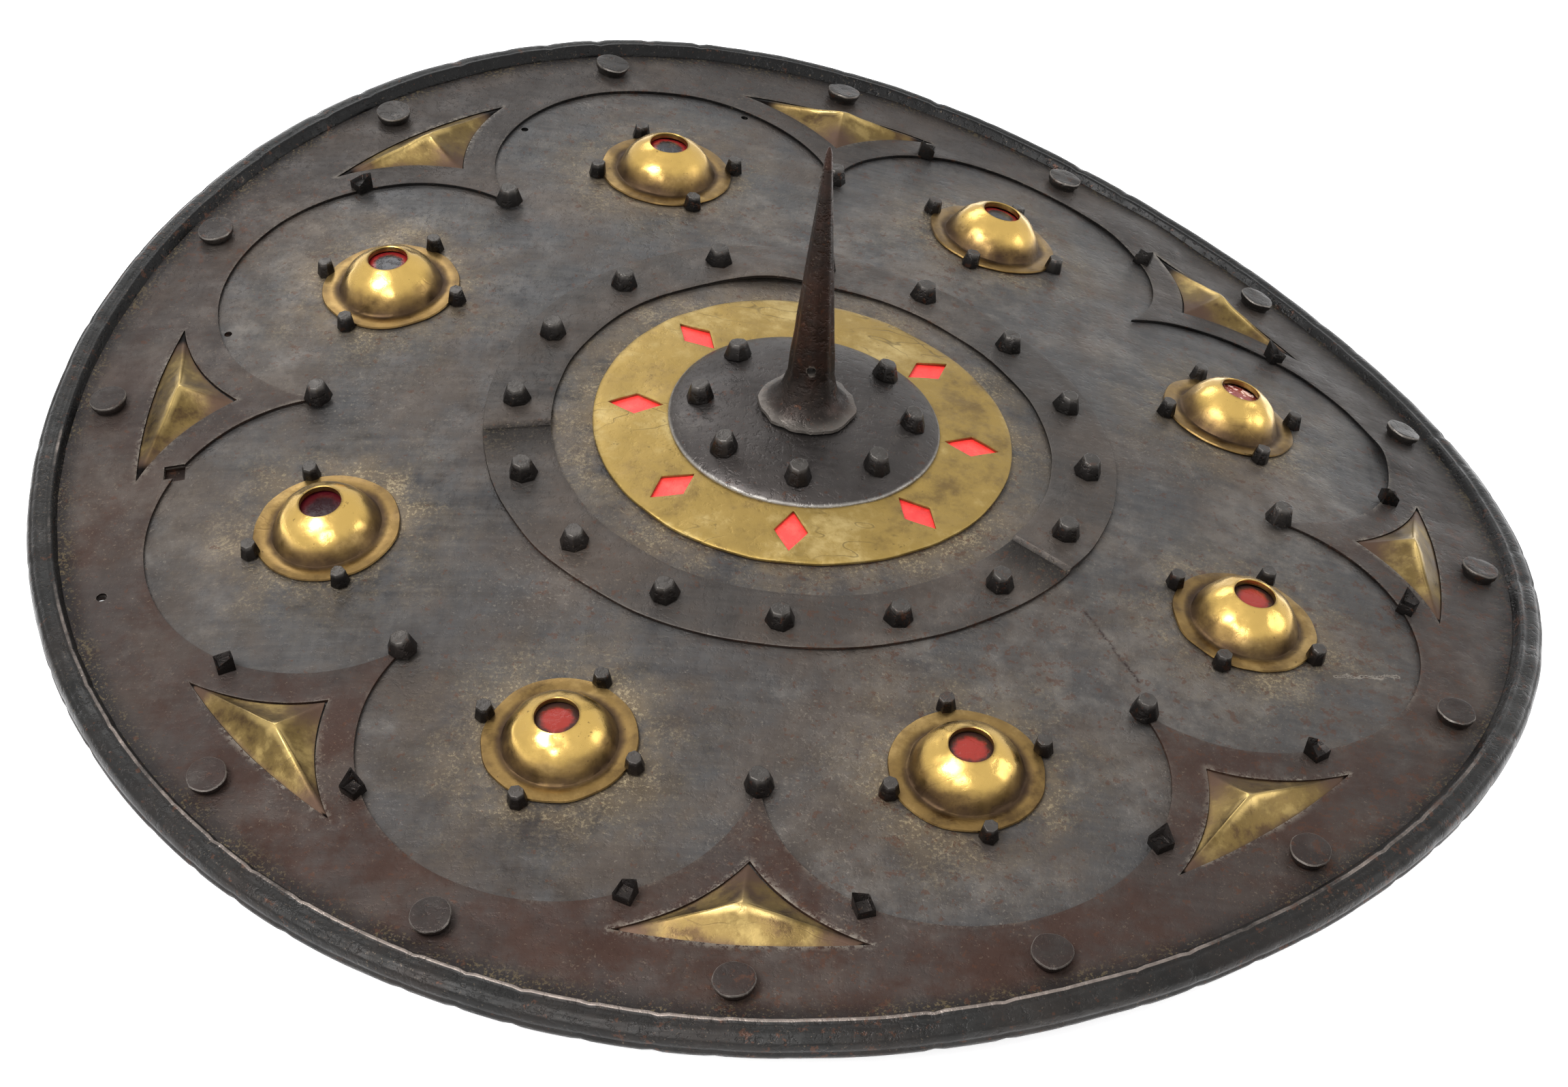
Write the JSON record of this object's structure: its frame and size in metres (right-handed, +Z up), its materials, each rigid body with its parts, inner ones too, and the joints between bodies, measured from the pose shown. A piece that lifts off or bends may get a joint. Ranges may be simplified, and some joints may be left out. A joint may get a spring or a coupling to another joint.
{
  "type": "targe shield",
  "caption": "Round dished iron shield with a scalloped border, brass bosses set with red glass, a brass ring and a tall central spike.",
  "frame": {"origin": "on the surface that the shield lies on, below the middle of the shield", "axes": "+Z up out of the shield's face, towards the spike's point; -Y towards the viewer's side of the picture, where the first cusp of the border points"},
  "size_m": [0.524, 0.524, 0.1666],
  "materials": {
    "field_iron": "grey wrought sheet with brown rust marks, half matt",
    "border_iron": "brown-grey wrought sheet, rustier on one side, half matt",
    "rim_iron": "near-black iron with a worn ridge",
    "dark_iron": "dark forged iron, smooth and slightly glossy",
    "bright_brass": "thin beaten brass, polished on the high spots and purple-brown in the hollows",
    "dull_brass": "thin beaten brass, matt ochre with small gouges",
    "red_glass": "deep red glass, scratched and partly broken",
    "red_layer": "flat bright red layer seen through the diamonds"
  },
  "bodies": {
    "root": {"shield_plate": "field_iron", "rim_binding": "rim_iron", "scalloped_border": "border_iron", "studded_band": "field_iron", "red_backing": "red_layer", "brass_ring": "dull_brass", "domed_disc": "dark_iron", "spike": "dark_iron", "boss_1": "bright_brass", "jewel_1": "red_glass", "brass_relief_1": "bright_brass", "cusp_stud_1": "dark_iron", "boss_2": "bright_brass", "jewel_2": "red_glass", "brass_relief_2": "bright_brass", "cusp_stud_2": "dark_iron", "boss_3": "bright_brass", "jewel_3": "red_glass", "brass_relief_3": "bright_brass", "cusp_stud_3": "dark_iron", "boss_4": "bright_brass", "jewel_4": "red_glass", "brass_relief_4": "bright_brass", "cusp_stud_4": "dark_iron", "boss_5": "bright_brass", "jewel_5": "red_glass", "brass_relief_5": "bright_brass", "cusp_stud_5": "dark_iron", "boss_6": "bright_brass", "jewel_6": "red_glass", "brass_relief_6": "bright_brass", "boss_7": "bright_brass", "jewel_7": "red_glass", "brass_relief_7": "bright_brass", "cusp_stud_7": "dark_iron", "boss_8": "bright_brass", "jewel_8": "red_glass", "brass_relief_8": "bright_brass", "cusp_stud_8": "dark_iron", "rim_rivet_1": "dark_iron", "rim_rivet_2": "dark_iron", "rim_rivet_3": "dark_iron", "rim_rivet_5": "dark_iron", "rim_rivet_6": "dark_iron", "rim_rivet_7": "dark_iron", "rim_rivet_8": "dark_iron", "rim_rivet_9": "dark_iron", "rim_rivet_10": "dark_iron", "rim_rivet_11": "dark_iron", "rim_rivet_12": "dark_iron", "rim_rivet_13": "dark_iron", "rim_rivet_14": "dark_iron", "rim_rivet_15": "dark_iron", "rim_rivet_16": "dark_iron"}
  },
  "joints": []
}
